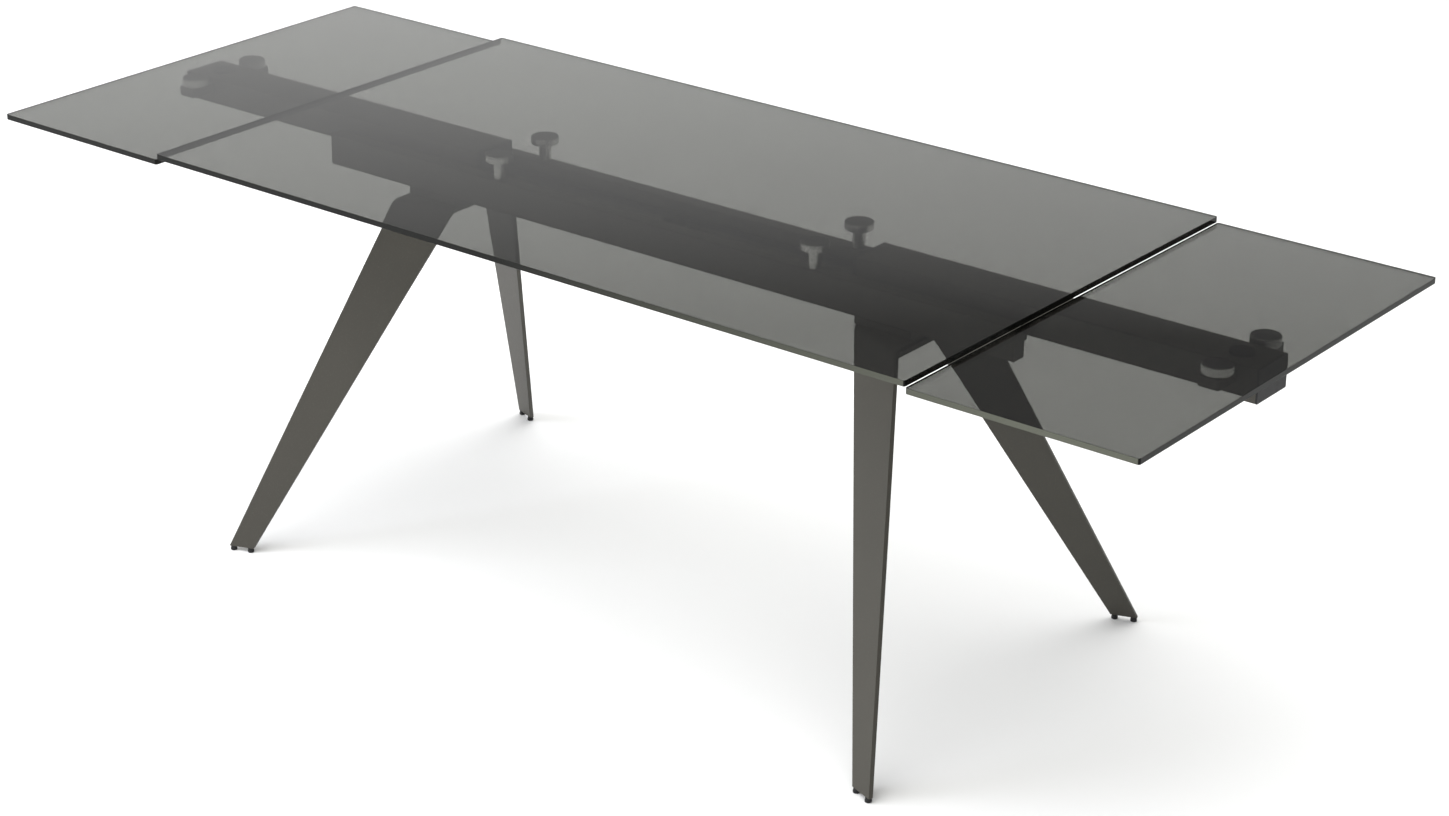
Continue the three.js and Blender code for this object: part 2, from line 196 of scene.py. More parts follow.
def makePolishedGlassEdge(name, values):
    # a polished edge looks deep into the tinted sheet, so it is nearly black with a green-grey cast,
    # and a painted reflection makes it paler along the front towards +X, between its dark arrises
    material, tree = newMaterial(name)
    place = coordinate(tree)
    band = noiseAt(tree, place, values["bandMm"], 3.0)
    colour = blend(tree, band, srgbToLinear(values["shadeDeep"]), srgbToLinear(values["shade"]))
    along = addNode(tree, "ShaderNodeSeparateXYZ", {0: place})
    facing = addNode(tree, "ShaderNodeSeparateXYZ", {0: coordinate(tree, "Normal")})
    # painted reflection: front-facing edge faces are painted paler towards +X
    paintedReflectionAlong = spread(tree, along.outputs["X"], (0.0, 1.0), values["paintedReflectionFromTo"])
    front = spread(tree, facing.outputs["Y"], (0.0, 1.0), values["paintedReflectionFacingFromTo"])
    withPaintedReflection = blend(tree, product(tree, paintedReflectionAlong, front), colour, srgbToLinear(values["paintedReflectionShade"]))
    shader = addNode(tree, "ShaderNodeBsdfPrincipled",
                     {"Base Color": withPaintedReflection, "Roughness": spread(tree, band, values["roughness"]),
                      "IOR": 1.52, "Specular IOR Level": values["gloss"]})
    putOut(tree, shader)
    return material


polishedSteel = {"shade": "#CFCFCC", "darkShare": 0.86, "ringMm": 0.5, "ringDepthMm": 0.08,
                 "smearMm": 14, "roughness": (0.12, 0.24)}
zincPlate = {"shade": "#B4B8BA", "darkShare": 0.86, "ringMm": 0.8, "ringDepthMm": 0.01,
             "smearMm": 5, "roughness": (0.25, 0.42)}


def makeTurnedMetal(name, values):
    # turned on a lathe and buffed: rings too fine to see one by one stretch its highlights upright
    material, tree = newMaterial(name)
    place = coordinate(tree)
    roundTheAxis = addNode(tree, "ShaderNodeMapping", {"Vector": place, "Scale": (0.02, 0.02, 1.0)})
    ring = noiseAt(tree, roundTheAxis.outputs[0], values["ringMm"], 2.0)
    smear = noiseAt(tree, place, values["smearMm"], 3.0)
    light = srgbToLinear(values["shade"])
    dark = (*[channel * values["darkShare"] for channel in light[:3]], 1.0)
    shader = addNode(tree, "ShaderNodeBsdfPrincipled",
                     {"Base Color": blend(tree, ring, dark, light), "Metallic": 1.0,
                      "Roughness": spread(tree, smear, values["roughness"]),
                      "Normal": bumpFrom(tree, ring, 1.0, values["ringDepthMm"])})
    putOut(tree, shader)
    return material


mouldedNylon = {"shade": "#1B1B1C", "shadeWorn": "#2B2B2C", "grainMm": 1.2, "grainDepthMm": 0.03,
                "patchMm": 22, "roughness": (0.42, 0.6), "ior": 1.53, "gloss": 0.22}
mattRubber = {"shade": "#161616", "shadeWorn": "#242322", "grainMm": 0.9, "grainDepthMm": 0.05,
              "patchMm": 12, "roughness": (0.72, 0.9), "ior": 1.52, "gloss": 0.3}


def makeMouldedBlack(name, values):
    # moulded in a spark-eroded tool: a fine even grain, greyer where it is handled
    material, tree = newMaterial(name)
    place = coordinate(tree)
    grain = noiseAt(tree, place, values["grainMm"], 3.0)
    patch = noiseAt(tree, place, values["patchMm"], 2.0)
    shader = addNode(tree, "ShaderNodeBsdfPrincipled",
                     {"Base Color": blend(tree, patch, srgbToLinear(values["shade"]),
                                          srgbToLinear(values["shadeWorn"])),
                      "Roughness": spread(tree, grain, values["roughness"]),
                      "IOR": values["ior"], "Specular IOR Level": values["gloss"],
                      "Normal": bumpFrom(tree, grain, 0.4, values["grainDepthMm"])})
    putOut(tree, shader)
    return material


materials = {
    "float_glass": makeTemperedGreyGlass("tempered grey glass", temperedGlass),
    "coated_steel": makePowderCoatedSteel("powder-coated steel", powderCoat),
    "polished_steel": makeTurnedMetal("polished stainless steel", polishedSteel),
    "zinc_steel": makeTurnedMetal("zinc-plated steel", zincPlate),
    "black_nylon": makeMouldedBlack("moulded black nylon", mouldedNylon),
    "black_rubber": makeMouldedBlack("matt black rubber", mattRubber),
}
edgeFinish = makePolishedGlassEdge("polished glass edge", glassEdge)
print("materials made:", len(materials) + 1)


bodyOf = {node: body for body, members in frame["record"]["behaviour"]["bodies"].items() for node in members}
slotOf = {entry["node"]: entry["material_slot"] for entry in frame["record"]["subparts"]}


def markSharpEdges(mesh, degrees=32):
    bm = bmesh.new()
    bm.from_mesh(mesh)
    for face in bm.faces:
        face.smooth = True
    for edge in bm.edges:
        if len(edge.link_faces) == 2:
            edge.smooth = edge.calc_face_angle() < math.radians(degrees)
    bm.to_mesh(mesh)
    bm.free()


def addPiece(name, mesh, replaced):
    # the piece takes its body and its finish from the first node that it stands for
    piece = bpy.data.objects.new(name, mesh)
    scene.collection.objects.link(piece)
    slot = slotOf[replaced[0]]
    mesh.materials.clear()
    mesh.materials.append(materials[slot])
    weighted = piece.modifiers.new("weightedNormal", "WEIGHTED_NORMAL")   # broad faces stay flat
    weighted.keep_sharp = True
    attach(piece, bodyOf[replaced[0]])
    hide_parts(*replaced)
    return piece


def meshFrom(name, bm):
    bmesh.ops.recalc_face_normals(bm, faces=bm.faces)
    mesh = bpy.data.meshes.new(name)
    bm.to_mesh(mesh)
    bm.free()
    markSharpEdges(mesh)
    return mesh


def bevelSharpEdges(bm, width, segments=2, degrees=35):
    sharp = [e for e in bm.edges if len(e.link_faces) == 2 and e.calc_face_angle() > math.radians(degrees)]
    bmesh.ops.bevel(bm, geom=sharp, offset=width, segments=segments, profile=0.5, affect="EDGES",
                    clamp_overlap=True)


def edgedCopy(node, edgeMm):
    # a CAD node's own shape, with its sharp edges rounded over
    bm = bmesh.new()
    bm.from_mesh(nodes[node].data)
    bmesh.ops.remove_doubles(bm, verts=bm.verts, dist=2e-6)
    bmesh.ops.dissolve_limit(bm, angle_limit=math.radians(1), verts=bm.verts, edges=bm.edges)
    bevelSharpEdges(bm, edgeMm * mm)
    return meshFrom(node, bm)


def camelName(node):
    words = node.split("_")
    return words[0] + "".join(word.capitalize() for word in words[1:])


def bridgeRings(bm, rings, closeEnds=True):
    # rings are lists of vertices with one count, each joined to the next all the way round
    for lower, upper in zip(rings, rings[1:]):
        count = len(lower)
        for i in range(count):
            j = (i + 1) % count
            bm.faces.new((lower[i], lower[j], upper[j], upper[i]))
    if closeEnds:
        bm.faces.new(rings[0])
        bm.faces.new(rings[-1])


def roundedOutline(low, high, radius, segments):
    # anticlockwise, four corner arcs
    centres = [(high[0] - radius, low[1] + radius), (high[0] - radius, high[1] - radius),
               (low[0] + radius, high[1] - radius), (low[0] + radius, low[1] + radius)]
    points = []
    for corner, (cx, cy) in enumerate(centres):
        for step in range(segments + 1):
            angle = math.radians(-90 + 90 * corner + 90 * step / segments)
            points.append((cx + radius * math.cos(angle), cy + radius * math.sin(angle)))
    return points


glassPlate = {
    "cornerRadiusMm": 4.0,
    "cornerSegments": 8,
    "arrisMm": 0.3,
    "arrisRoundMm": 0.1,
    "shoulderShare": 0.15,    # how far the rounding has come in where it meets the arris
    "levelEnough": 0.999,     # a face whose normal is this upright is one of the two flat faces
}


def makeGlassPlate(node):
    low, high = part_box(node)
    radius = glassPlate["cornerRadiusMm"] * mm
    arris = glassPlate["arrisMm"] * mm
    soft = glassPlate["arrisRoundMm"] * mm
    # inset and height of each ring, from the underside round the polished edge to the top
    shoulder = soft * glassPlate["shoulderShare"]
    steps = [(arris + soft, 0), (arris, shoulder), (shoulder, arris), (0, arris + soft)]
    height = high.z - low.z
    profile = steps + [(inset, height - rise) for inset, rise in reversed(steps)]
    bm = bmesh.new()
    rings = []
    for inset, rise in profile:
        outline = roundedOutline((low.x + inset, low.y + inset), (high.x - inset, high.y - inset),
                                 radius - inset, glassPlate["cornerSegments"])
        rings.append([bm.verts.new((x, y, low.z + rise)) for x, y in outline])
    bridgeRings(bm, rings)
    return meshFrom(node, bm)


for node in ("middle_glass", "left_leaf_glass", "right_leaf_glass"):
    plate = addPiece(camelName(node) + "Plate", makeGlassPlate(node), [node])
    plate.data.materials.append(edgeFinish)
    for polygon in plate.data.polygons:            # everything but the two flat faces is polished edge
        polygon.material_index = 0 if abs(polygon.normal.z) > glassPlate["levelEnough"] else 1
print("glass plates made")


# each pair of legs is one sheet of thick plate, folded down at both ends of its flange
legSheet = {
    "thicknessMm": 8.0,
    "bendOuterMm": 15.0,      # outside bend radius, a little under twice the thickness
    "bendSegments": 10,
    "foldMm": (495.0, 97.5),  # middle of the fold, along the table and across it
    "foldWidthMm": 121.0,
    "footMm": (702.0, 396.0),    # middle of the blade's lower end
    "footWidthMm": 48.0,
    "turnDegrees": 20.5,      # between the fold and the length of the table
    "topMm": 636.0,
    "footHeightMm": 8.0,      # from the floor to the blade's lower end
    "edgeMm": 0.9,
    "edgeSegments": 3,
}


def legSheetRows(values):
    # rows of (outer point, inner point) pairs for both edges of the sheet, from the middle of the flange
    # down the rear right blade to its foot, in millimetres
    turn = math.radians(values["turnDegrees"])
    along = Vector((math.cos(turn), math.sin(turn), 0))
    outwards = Vector((-math.sin(turn), math.cos(turn), 0))
    top, foot = values["topMm"], values["footHeightMm"]
    drop = top - foot
    run = Vector((values["footMm"][0] - values["foldMm"][0], values["footMm"][1] - values["foldMm"][1], 0))
    lean = math.atan2(run.dot(outwards), drop)
    thickness = values["thicknessMm"]
    level = thickness / math.cos(lean)
    fold = Vector((*values["foldMm"], 0))

    def bladePoint(z, across, depth):
        t = (top - z) / drop
        half = values["foldWidthMm"] * (1 - t) / 2 + values["footWidthMm"] * t / 2
        return fold + run * t + along * (across * half) - outwards * depth + Vector((0, 0, z))

    bend = math.pi / 2 - lean
    radius = values["bendOuterMm"]
    back = radius * math.tan(bend / 2)       # from the sharp corner back to where the bend starts
    centreOut, centreZ = -back, top - radius
    rowsOut = []
    for across in (-1, 1):
        corner = fold + along * (across * values["foldWidthMm"] / 2)
        edge = [(Vector((corner.x, 0, top)), Vector((corner.x, 0, top - thickness)))]
        for step in range(values["bendSegments"] + 1):
            angle = bend * step / values["bendSegments"]
            pair = []
            for r in (radius, radius - thickness):
                out = centreOut + r * math.sin(angle)
                z = centreZ + r * math.cos(angle)
                outerOut = centreOut + radius * math.sin(angle)
                outerZ = centreZ + radius * math.cos(angle)
                t = (top - outerZ) / drop
                slide = run.dot(along) * t + across * (values["footWidthMm"] - values["foldWidthMm"]) / 2 * t
                slide += min(outerOut, 0) * math.tan(turn)
                pair.append(corner + along * slide + outwards * out + Vector((0, 0, z)))
            edge.append(tuple(pair))
        for share in (0.25, 0.5, 0.75, 1.0):
            z = top - drop * share
            edge.append((bladePoint(z, across, 0), bladePoint(z, across, level)))
        rowsOut.append(edge)
    return rowsOut


def makeLegSheet(sideSign, values):
    inner, outer = legSheetRows(values)
    halves = []
    for rowSign in (-1, 1):
        half = []
        for (innerTop, innerUnder), (outerTop, outerUnder) in zip(inner, outer):
            ring = []
            for point in (innerTop, outerTop, outerUnder, innerUnder):
                ring.append(Vector((sideSign * point.x, rowSign * point.y, point.z)) * mm)
            half.append(ring)
        halves.append(half)
    section = list(reversed(halves[0])) + halves[1][1:]
    bm = bmesh.new()
    rings = [[bm.verts.new(point) for point in ring] for ring in section]
    bridgeRings(bm, rings)
    bmesh.ops.recalc_face_normals(bm, faces=bm.faces)
    bevelSharpEdges(bm, values["edgeMm"] * mm, values["edgeSegments"])
    return meshFrom("legSheet", bm)


for side, sideSign in sides.items():
    addPiece(side + "LegSheet", makeLegSheet(sideSign, legSheet),
             [side + "_flange_plate", "front_" + side + "_leg", "rear_" + side + "_leg"])
print("leg sheets folded")


# bars and slides are drawn box tube
tube = {"cornerMm": 2.5, "innerCornerShare": 0.4, "cornerSegments": 5, "wallMm": 3.0, "capEdgeMm": 0.6}


def alongX(bm, outline, x0, x1, hole=None):
    # an outline in Y and Z pulled along X, with an optional hole of as many points
    ends = []
    for x in (x0, x1):
        outerRing = [bm.verts.new((x, y, z)) for y, z in outline]
        holeRing = [bm.verts.new((x, y, z)) for y, z in hole] if hole else None
        ends.append((outerRing, holeRing))
    (outer0, hole0), (outer1, hole1) = ends
    bridgeRings(bm, [outer0, outer1], closeEnds=hole is None)
    if hole:
        bridgeRings(bm, [hole0, hole1], closeEnds=False)
        bridgeRings(bm, [outer0, hole0], closeEnds=False)
        bridgeRings(bm, [outer1, hole1], closeEnds=False)


def makeBoxTube(node):
    low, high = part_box(node)
    wall = tube["wallMm"] * mm
    radius = tube["cornerMm"] * mm
    outline = roundedOutline((low.y, low.z), (high.y, high.z), radius, tube["cornerSegments"])
    hole = roundedOutline((low.y + wall, low.z + wall), (high.y - wall, high.z - wall),
                          radius * tube["innerCornerShare"], tube["cornerSegments"])
    bm = bmesh.new()
    alongX(bm, outline, low.x, high.x, hole)
    return meshFrom(node, bm)


def makeCapPlate(node):
    low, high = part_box(node)
    edge = tube["capEdgeMm"] * mm
    radius = tube["cornerMm"] * mm
    outwardsIsHigh = high.x > 0
    bm = bmesh.new()
    rings = []
    for share, inset in ((0, 0), (1 - edge / (high.x - low.x), 0), (1, edge)):
        x = low.x + (high.x - low.x) * share if outwardsIsHigh else high.x - (high.x - low.x) * share
        outline = roundedOutline((low.y + inset, low.z + inset), (high.y - inset, high.z - inset),
                                 radius - inset, tube["cornerSegments"])
        rings.append([bm.verts.new((x, y, z)) for y, z in outline])
    bridgeRings(bm, rings)
    return meshFrom(node, bm)


for row in rows:
    addPiece(row + "BarTube", makeBoxTube(row + "_bar"), [row + "_bar"])
    for side in sides:
        node = row + "_" + side + "_bar_cap"
        addPiece(camelName(node) + "Plate", makeCapPlate(node), [node])


for side in sides:
    addPiece(side + "SlideBoxTube", makeBoxTube(side + "_slide_tube"), [side + "_slide_tube"])
    addPiece(side + "SlideEndPlate", makeCapPlate(side + "_slide_end_cap"), [side + "_slide_end_cap"])
print("bars and slides made")


def makeTurned(name, profile, segments, centre=(0, 0, 0)):
    # profile is (radius, height) in millimetres, listed upwards, its ends on the axis
    bm = bmesh.new()
    rings, poles = [], []
    for radius, height in profile:
        z = centre[2] + height * mm
        if radius == 0:
            poles.append(bm.verts.new((centre[0], centre[1], z)))
            continue
        ring = []
        for step in range(segments):
            angle = 2 * math.pi * step / segments
            ring.append(bm.verts.new((centre[0] + radius * mm * math.cos(angle),
                                      centre[1] + radius * mm * math.sin(angle), z)))
        rings.append(ring)
    bridgeRings(bm, rings, closeEnds=False)
    for pole, ring in zip(poles, (rings[0], rings[-1])):
        for i in range(segments):
            bm.faces.new((ring[i], ring[(i + 1) % segments], pole))
    return meshFrom(name, bm)


def makeTree(name, sockets):
    # an empty Geometry Nodes tree with its named inputs, and the node that reads them
    tree = bpy.data.node_groups.new(name, "GeometryNodeTree")
    tree.interface.new_socket("Geometry", in_out="INPUT", socket_type="NodeSocketGeometry")
    for socketName, kind in sockets:
        tree.interface.new_socket(socketName, in_out="INPUT", socket_type=kind)
    tree.interface.new_socket("Geometry", in_out="OUTPUT", socket_type="NodeSocketGeometry")
    return tree, addNode(tree, "NodeGroupInput")


fullTurn = 6.2832        # in radians


def placeOnGrid(tree, given, geometry):
    # copies on a grid of points, each turned by a fixed seed about its own upright axis
    grid = addNode(tree, "GeometryNodeMeshGrid",
                   {"Size X": given.outputs["Spacing X"], "Size Y": given.outputs["Spacing Y"],
                    "Vertices X": given.outputs["Count X"], "Vertices Y": given.outputs["Count Y"]})
    spin = addNode(tree, "FunctionNodeRandomValue",
                   {2: 0.0, 3: fullTurn, 8: given.outputs["Seed"]}, data_type="FLOAT")
    turn = addNode(tree, "ShaderNodeCombineXYZ", {"Z": spin.outputs[1]})
    copies = addNode(tree, "GeometryNodeInstanceOnPoints",
                     {"Points": grid.outputs["Mesh"], "Instance": geometry, "Rotation": turn.outputs[0]})
    moved = addNode(tree, "GeometryNodeTransform",
                    {"Geometry": copies.outputs[0], "Translation": given.outputs["Centre"]})
    real = addNode(tree, "GeometryNodeRealizeInstances", {"Geometry": moved.outputs[0]})
    finish = addNode(tree, "GeometryNodeSetMaterial",
                     {"Geometry": real.outputs[0], "Material": given.outputs["Finish"]})
    addNode(tree, "NodeGroupOutput", {0: finish.outputs[0]})


gridSockets = [("Spacing X", "NodeSocketFloat"), ("Spacing Y", "NodeSocketFloat"),
               ("Count X", "NodeSocketInt"), ("Count Y", "NodeSocketInt"),
               ("Centre", "NodeSocketVector"), ("Seed", "NodeSocketInt"), ("Finish", "NodeSocketMaterial")]

gridTree, gridGiven = makeTree("copiesOnGrid", gridSockets)
placeOnGrid(gridTree, gridGiven, gridGiven.outputs["Geometry"])

ribSockets = [("Rib Count", "NodeSocketInt"), ("Rib Radius", "NodeSocketFloat"),
              ("Rib Circle", "NodeSocketFloat"), ("Rib Height", "NodeSocketFloat"),
              ("Rib Middle", "NodeSocketFloat")]
ribFacets = 8

ribTree, ribGiven = makeTree("ribbedCopiesOnGrid", gridSockets + ribSockets)
ribCircle = addNode(ribTree, "GeometryNodeMeshCircle",
                    {"Vertices": ribGiven.outputs["Rib Count"], "Radius": ribGiven.outputs["Rib Circle"]})
oneRib = addNode(ribTree, "GeometryNodeMeshCylinder",
                 {"Vertices": ribFacets, "Radius": ribGiven.outputs["Rib Radius"],
                  "Depth": ribGiven.outputs["Rib Height"]})
ribs = addNode(ribTree, "GeometryNodeInstanceOnPoints",
               {"Points": ribCircle.outputs[0], "Instance": oneRib.outputs["Mesh"]})
ribLift = addNode(ribTree, "ShaderNodeCombineXYZ", {"Z": ribGiven.outputs["Rib Middle"]})
ribsUp = addNode(ribTree, "GeometryNodeTransform",
                 {"Geometry": ribs.outputs[0], "Translation": ribLift.outputs[0]})
ribbed = addNode(ribTree, "GeometryNodeJoinGeometry", {0: [ribGiven.outputs["Geometry"], ribsUp.outputs[0]]})
placeOnGrid(ribTree, ribGiven, ribbed.outputs[0])


def applyTree(name, mesh, tree, values):
    # runs the tree once on the mesh and keeps the plain result
    holder = bpy.data.objects.new(name + "Source", mesh)
    scene.collection.objects.link(holder)
    modifier = holder.modifiers.new(tree.name, "NODES")
    modifier.node_group = tree
    keys = {item.name: item.identifier for item in tree.interface.items_tree
            if item.item_type == "SOCKET" and item.in_out == "INPUT"}
    for key, value in values.items():
        modifier[keys[key]] = value
    bpy.context.view_layer.update()
    result = bpy.data.meshes.new_from_object(holder.evaluated_get(bpy.context.evaluated_depsgraph_get()))
    holder.modifiers.clear()
    bpy.data.objects.remove(holder)
    result.name = name
    return result


def gridValues(nodeNames, slot, seed):
    # the spacing and middle of the nodes that a grid of copies stands for
    centres = [(low + high) / 2 for low, high in map(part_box, nodeNames)]
    xs, ys = [c.x for c in centres], [c.y for c in centres]
    return {"Spacing X": max(xs) - min(xs), "Spacing Y": max(ys) - min(ys),
            "Count X": 2 if max(xs) - min(xs) > 1e-4 else 1, "Count Y": 2 if max(ys) - min(ys) > 1e-4 else 1,
            "Centre": ((max(xs) + min(xs)) / 2, (max(ys) + min(ys)) / 2, 0.0),
            "Seed": seed, "Finish": materials[slot]}


post = {
    "stemMm": 11.0,
    "footGroove": {"span": (4.0, 6.6), "deep": 0.6, "wall": 0.6},       # up from the bar, in millimetres
    "neckMm": (2.0, 1.2),             # where the stem narrows under the disc
    "neckDepthMm": 0.8,
    "discMm": 25.0,
    "discHeightMm": 13.0,
    "rimGroove": {"span": (-3.4, -2.0), "deep": 0.5, "wall": 0.4},      # down from the glass
    "edgeMm": 1.0,
    "glueGapMm": 0.06,
    "segments": 72,
    "seed": 4,
}


def grooveIn(radius, base, values):
    # four points of a turned groove, its ends given as heights from the base
    start, end = (base + height for height in values["span"])
    floor = radius - values["deep"]
    return [(radius, start), (floor, start + values["wall"]), (floor, end - values["wall"]), (radius, end)]


postStems = [row + "_" + side + "_post_stem" for row in rows for side in sides]
postDiscs = [row + "_" + side + "_post_disc" for row in rows for side in sides]
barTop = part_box("front_bar")[1].z
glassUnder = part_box("middle_glass")[0].z
tall = (glassUnder - barTop) / mm
discLow = tall - post["discHeightMm"]
stem, disc, edge = post["stemMm"], post["discMm"], post["edgeMm"]
neck = stem - post["neckDepthMm"]
glued = tall - post["glueGapMm"]
postProfile = [
    (0, 0), (stem - edge, 0), (stem, edge), *grooveIn(stem, 0, post["footGroove"]),
    (stem, discLow - post["neckMm"][0]), (neck, discLow - post["neckMm"][1]), (neck, discLow),
    (disc - edge, discLow), (disc - edge * 0.3, discLow + edge * 0.3), (disc, discLow + edge),
    *grooveIn(disc, tall, post["rimGroove"]), (disc, tall - edge), (disc - edge, glued), (0, glued)]
postMesh = makeTurned("post", postProfile, post["segments"], (0, 0, barTop))
postValues = gridValues(postStems, "polished_steel", post["seed"])
addPiece("glassPosts", applyTree("glassPosts", postMesh, gridTree, postValues), postStems + postDiscs)

puck = {
    "coreMm": 24.3,
    "ribMm": 0.62,
    "ribCount": 110,
    "ribGapMm": 2.2,                  # plain band above and below the ribs
    "rimMm": 0.4,                     # how far that band stands out from the core
    "edgeMm": 1.2,
    "stemMm": 10.0,
    "stemEdgeMm": 1.0,
    "liftMm": 0.05,                   # clear of the crossbar
    "glueGapMm": 0.06,
    "segments": 88,
    "seed": 9,
}
for side in sides:
    puckNodes = [row + "_" + side + "_puck" for row in rows]
    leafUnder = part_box(side + "_leaf_glass")[0].z
    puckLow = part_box(puckNodes[0])[0].z
    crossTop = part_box(side + "_crossbar")[1].z
    low = (crossTop - puckLow) / mm
    puckTall = (leafUnder - crossTop) / mm
    high = low + puckTall
    core, edge, gap, rim = puck["coreMm"], puck["edgeMm"], puck["ribGapMm"], puck["rimMm"]
    stem, stemEdge, glued = puck["stemMm"], puck["stemEdgeMm"], high - puck["glueGapMm"]
    puckProfile = [
        (0, 0), (stem - stemEdge, 0), (stem, stemEdge), (stem, low + puck["liftMm"]),
        (core - edge, low + puck["liftMm"]), (core + rim, low + edge), (core + rim, low + gap - rim),
        (core, low + gap), (core, high - gap), (core + rim, high - gap + rim), (core + rim, high - edge),
        (core - edge, glued), (0, glued)]
    puckMesh = makeTurned("puck", puckProfile, puck["segments"], (0, 0, puckLow))
    values = gridValues(puckNodes, "polished_steel", puck["seed"])
    values.update({"Rib Count": puck["ribCount"], "Rib Radius": puck["ribMm"] * mm,
                   "Rib Circle": core * mm, "Rib Height": (puckTall - 2 * gap) * mm,
                   "Rib Middle": (crossTop + leafUnder) / 2})
    addPiece(side + "LeafPucks", applyTree(side + "LeafPucks", puckMesh, ribTree, values), puckNodes)

legBolt = {
    # radius and height in millimetres, from the floor of the six-sided socket out to the head's rim
    "socket": ((2.842, 2.6), (2.9, 0.25), (3.15, 0.0)),
    "head": ((4.4, 0.05), (6.01, 0.99), (6.75, 2.2), (7.0, 2.8), (7.0, 4.5)),
    "shankMm": 4.0,
    "plainShankMm": 21.0,
    "pitchMm": 1.25,                  # metric thread, drawn as rings
    "rootAtMm": 0.62,
    "rootDepthMm": 0.55,
    "tipMm": 0.8,
    "threadEndMm": 1.0,
    "segments": 48,
    "seed": 2,
}
boltNodes = [row + "_" + side + "_leg_bolt" for row in rows for side in sides]
boltLow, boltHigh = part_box(boltNodes[0])


def makeSocketBolt(values, low, high):
    # a button head with a six-sided socket, its shank going up
    tallMm = (high - low) / mm
    bm = bmesh.new()

    def ring(radius, height, sixSided=False):
        points = []
        for step in range(values["segments"]):
            angle = 2 * math.pi * step / values["segments"]
            fromFlat = (angle + math.pi / 6) % (math.pi / 3) - math.pi / 6
            r = radius / math.cos(fromFlat) if sixSided else radius
            points.append(bm.verts.new((r * mm * math.cos(angle), r * mm * math.sin(angle),
                                        low + height * mm)))
        return points

    shank = values["shankMm"]
    headHeight = values["head"][-1][1]
    rings = [ring(*point, sixSided=True) for point in values["socket"]]
    rings += [ring(*point) for point in values["head"]]
    rings.append(ring(shank, headHeight))
    height = headHeight + values["plainShankMm"]
    rings.append(ring(shank, height))
    while height + values["pitchMm"] < tallMm - values["threadEndMm"]:
        rings.append(ring(shank - values["rootDepthMm"], height + values["rootAtMm"]))
        rings.append(ring(shank, height + values["pitchMm"]))
        height += values["pitchMm"]
    rings.append(ring(shank - values["tipMm"], tallMm))
    bridgeRings(bm, rings)
    return meshFrom("legBolt", bm)


boltMesh = makeSocketBolt(legBolt, boltLow.z, boltHigh.z)
boltCopies = applyTree("legBolts", boltMesh, gridTree, gridValues(boltNodes, "zinc_steel", legBolt["seed"]))
addPiece("legBolts", boltCopies, boltNodes)
print("posts, pucks and bolts made")


glide = {
    # radius and height in millimetres, from the middle of the foot up to its stem
    "foot": ((0, 0), (4.7, 0), (5.5, 0.25), (5.9, 0.8), (6.0, 1.4), (6.0, 4.2), (5.3, 5.0), (5.3, 7.6),
             (4.9, 8.0)),
    "stemMm": 2.0,
    "pitchMm": 0.8,
    "rootDepthMm": 0.3,
    "tipMm": 0.4,
    "segments": 40,
}
stem, pitch = glide["stemMm"], glide["pitchMm"]
footTop = glide["foot"][-1][1]
for row in rows:
    for side in sides:
        for place in ("inner", "outer"):
            node = row + "_" + side + "_" + place + "_glide"
            low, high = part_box(node)
            tallMm = (high.z - low.z) / mm
            glideProfile = [*glide["foot"], (stem, footTop)]
            height = footTop + pitch / 2
            while height + pitch < tallMm:
                glideProfile.append((stem - glide["rootDepthMm"], height))
                glideProfile.append((stem, height + pitch / 2))
                height += pitch
            glideProfile += [(stem - glide["tipMm"], tallMm), (0, tallMm)]
            centre = ((low.x + high.x) / 2, (low.y + high.y) / 2, low.z)
            footMesh = makeTurned(node, glideProfile, glide["segments"], centre)
            addPiece(camelName(node) + "Foot", footMesh, [node])


smallParts = {                     # edge rounding in millimetres
    "spacer_plate": 0.8,
    "tie_plate": 0.8,
    "stop_tie": 1.0,
    "crossbar": 1.2,
    "slide_plug": 0.8,
}
bossPad = {
    # distance in from the rim and down from the top, in millimetres, up the side and over a ring groove
    "rim": ((0, 1.4), (0.5, 0.4), (1.5, 0)),
    "groove": ((5, 0), (5.5, 0.6), (6.5, 0.6), (7, 0)),
    "footEdgeMm": (0.3, 0.4),
    "segments": 64,
}
for side in sides:
    for part, edgeMm in smallParts.items():
        node = side + "_" + part
        addPiece(camelName(node) + "Piece", edgedCopy(node, edgeMm), [node])
    low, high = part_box(side + "_boss")
    radius, tallMm = (high.x - low.x) / 2 / mm, (high.z - low.z) / mm
    inset, rise = bossPad["footEdgeMm"]
    bossProfile = [(0, 0), (radius - inset, 0), (radius, rise)]
    bossProfile += [(radius - inwards, tallMm - down) for inwards, down in bossPad["rim"] + bossPad["groove"]]
    bossProfile.append((0, tallMm))
    centre = ((low.x + high.x) / 2, 0, low.z)
    bossMesh = makeTurned(side + "_boss", bossProfile, bossPad["segments"], centre)
    addPiece(side + "BossPad", bossMesh, [side + "_boss"])
beamEdges = {"rail": 0.7, "tie": 1.0, "buffer": 2.0}      # edge rounding in millimetres
for row in rows:
    addPiece(row + "GuideRailStrip", edgedCopy(row + "_guide_rail", beamEdges["rail"]), [row + "_guide_rail"])
addPiece("middleTiePiece", edgedCopy("middle_tie", beamEdges["tie"]), ["middle_tie"])
addPiece("middleBufferBlock", edgedCopy("middle_buffer", beamEdges["buffer"]), ["middle_buffer"])
print("plates, ties and beam parts made")


